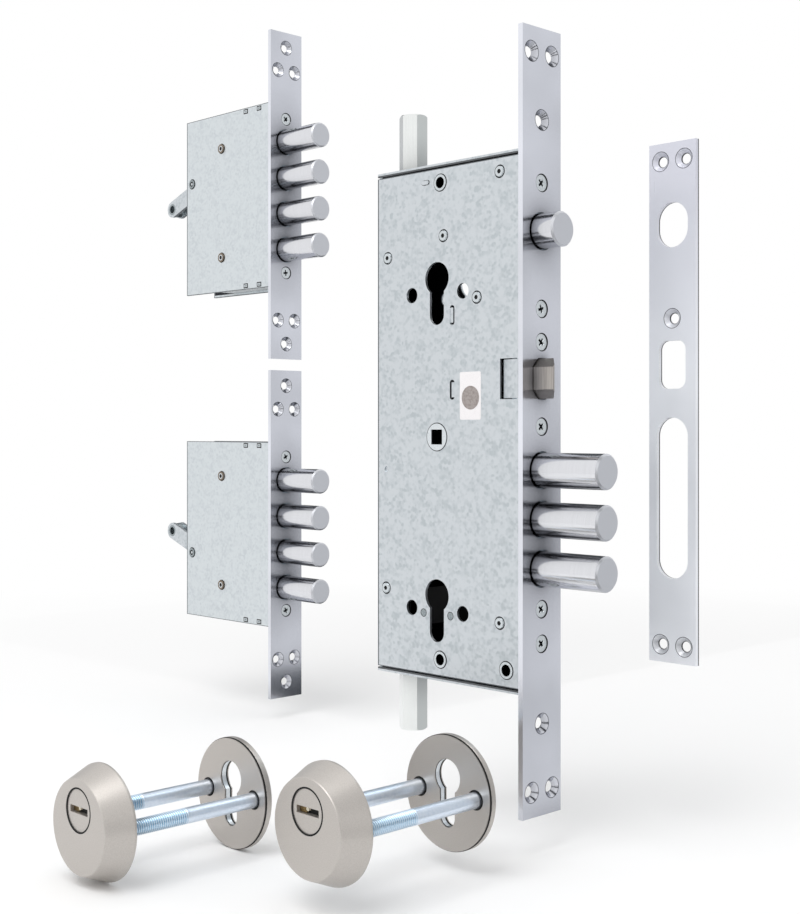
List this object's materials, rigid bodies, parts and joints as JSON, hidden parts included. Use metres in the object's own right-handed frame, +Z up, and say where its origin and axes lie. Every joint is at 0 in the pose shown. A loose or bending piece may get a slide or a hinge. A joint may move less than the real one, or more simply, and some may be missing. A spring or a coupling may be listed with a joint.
{
  "type": "multipoint mortise door lock set",
  "caption": "Multipoint mortise lock set for a security door: cased main lock with round deadbolts, latch and hexagon rods, auxiliary bolt locks with rod levers, strike plate and escutcheons.",
  "frame": {"origin": "middle of the main forend's front face, half way up and half way across", "axes": "+X out of the forend along the thrown bolts, +Y through the lock's thickness away from the cover, +Z up"},
  "size_m": [0.5459, 0.3394, 0.5169],
  "materials": {
    "galvanised": "galvanised sheet with fine spangle",
    "chrome": "satin chrome strip",
    "polished": "polished chrome steel",
    "sintered": "sintered steel, warm grey",
    "zinc": "zinc plated",
    "nickel": "satin nickel",
    "bronze": "dark brown rivet finish",
    "nylon": "dark nylon"
  },
  "bodies": {
    "housing": {"case_body": "galvanised", "cover_plate": "galvanised", "forend": "chrome", "case_pillars": "zinc", "cover_screws": "zinc", "case_bushes": "zinc", "forend_screws": "zinc", "deadbolt_guide": "zinc", "latch_guide": "zinc", "service_guide": "zinc", "rod_guides": "nylon", "latch_spring": "polished", "upper_aux_case": "galvanised", "upper_aux_cover": "galvanised", "upper_aux_forend": "chrome", "upper_aux_posts": "bronze", "upper_aux_pivot": "zinc", "upper_aux_guide": "zinc", "lower_aux_case": "galvanised", "lower_aux_cover": "galvanised", "lower_aux_forend": "chrome", "lower_aux_posts": "bronze", "lower_aux_pivot": "zinc", "lower_aux_guide": "zinc", "aux_screws": "zinc", "strike_plate": "chrome", "left_cap": "nickel", "left_rose_plate": "nickel", "left_rose_core": "zinc", "left_rose_shell": "nickel", "right_cap": "nickel", "right_rose_plate": "nickel", "right_rose_core": "zinc", "right_rose_shell": "nickel", "rose_bolts": "zinc"},
    "deadbolts": {"deadbolts": "polished", "bolt_plate": "galvanised", "bolt_pins": "zinc", "drive_pins": "zinc"},
    "upper_rod": {"upper_rod": "polished", "upper_slide": "galvanised"},
    "lower_rod": {"lower_rod": "polished", "lower_slide": "galvanised"},
    "service_bolt": {"service_bolt": "polished", "service_tail": "galvanised"},
    "latch": {"latch_bolt": "sintered", "latch_tail": "galvanised"},
    "follower": {"follower": "sintered", "follower_pin": "zinc"},
    "upper_aux_bolts": {"upper_aux_bolts": "polished", "upper_aux_plate": "galvanised"},
    "upper_aux_lever": {"upper_aux_lever": "galvanised", "upper_aux_lever_pins": "zinc"},
    "lower_aux_bolts": {"lower_aux_bolts": "polished", "lower_aux_plate": "galvanised"},
    "lower_aux_lever": {"lower_aux_lever": "galvanised", "lower_aux_lever_pins": "zinc"},
    "left_key_disc": {"left_key_disc": "nickel"},
    "right_key_disc": {"right_key_disc": "nickel"}
  },
  "joints": [
    {"name": "deadbolt_slide", "type": "slide", "parent": "housing", "child": "deadbolts", "axis": [1, 0, 0], "range_m": [-0.041, 0]},
    {"name": "upper_rod_slide", "type": "slide", "parent": "housing", "child": "upper_rod", "axis": [0, 0, 1], "range_m": [-0.02051, 0]},
    {"name": "lower_rod_slide", "type": "slide", "parent": "housing", "child": "lower_rod", "axis": [0, 0, 1], "range_m": [0, 0.02051]},
    {"name": "service_bolt_slide", "type": "slide", "parent": "housing", "child": "service_bolt", "axis": [1, 0, 0], "range_m": [-0.013, 0]},
    {"name": "latch_slide", "type": "slide", "parent": "housing", "child": "latch", "axis": [1, 0, 0], "range_m": [-0.012, 0], "stiffness_N_per_m": 250, "springref_m": 0.02, "deforming": ["latch_spring"]},
    {"name": "follower_turn", "type": "hinge", "parent": "housing", "child": "follower", "pos_m": [-0.061, 0, -0.008], "axis": [0, 1, 0], "range_deg": [-34.92, 0]},
    {"name": "upper_aux_slide", "type": "slide", "parent": "housing", "child": "upper_aux_bolts", "axis": [1, 0, 0], "range_m": [-0.0385, 0]},
    {"name": "upper_aux_lever_turn", "type": "hinge", "parent": "housing", "child": "upper_aux_lever", "pos_m": [-0.457, 0.126, 0.1915], "axis": [0, 1, 0], "range_deg": [0, 50.11]},
    {"name": "lower_aux_slide", "type": "slide", "parent": "housing", "child": "lower_aux_bolts", "axis": [1, 0, 0], "range_m": [-0.0385, 0]},
    {"name": "lower_aux_lever_turn", "type": "hinge", "parent": "housing", "child": "lower_aux_lever", "pos_m": [-0.457, 0.126, -0.1025], "axis": [0, 1, 0], "range_deg": [-50.11, 0]},
    {"name": "left_key_disc_turn", "type": "hinge", "parent": "housing", "child": "left_key_disc", "pos_m": [-0.12, -0.1885, -0.185], "axis": [0, -1, 0], "continuous": true},
    {"name": "right_key_disc_turn", "type": "hinge", "parent": "housing", "child": "right_key_disc", "pos_m": [-0.015, -0.1355, -0.175], "axis": [0, -1, 0], "continuous": true}
  ],
  "couplings": [
    {"joint": "upper_rod_slide", "follows": "deadbolt_slide", "ratio": 0.5},
    {"joint": "lower_rod_slide", "follows": "deadbolt_slide", "ratio": -0.5},
    {"joint": "follower_turn", "follows": "latch_slide", "rad_per_m": 50.782},
    {"joint": "upper_aux_lever_turn", "follows": "upper_aux_slide", "rad_per_m": -22.716},
    {"joint": "lower_aux_lever_turn", "follows": "lower_aux_slide", "rad_per_m": 22.716}
  ]
}
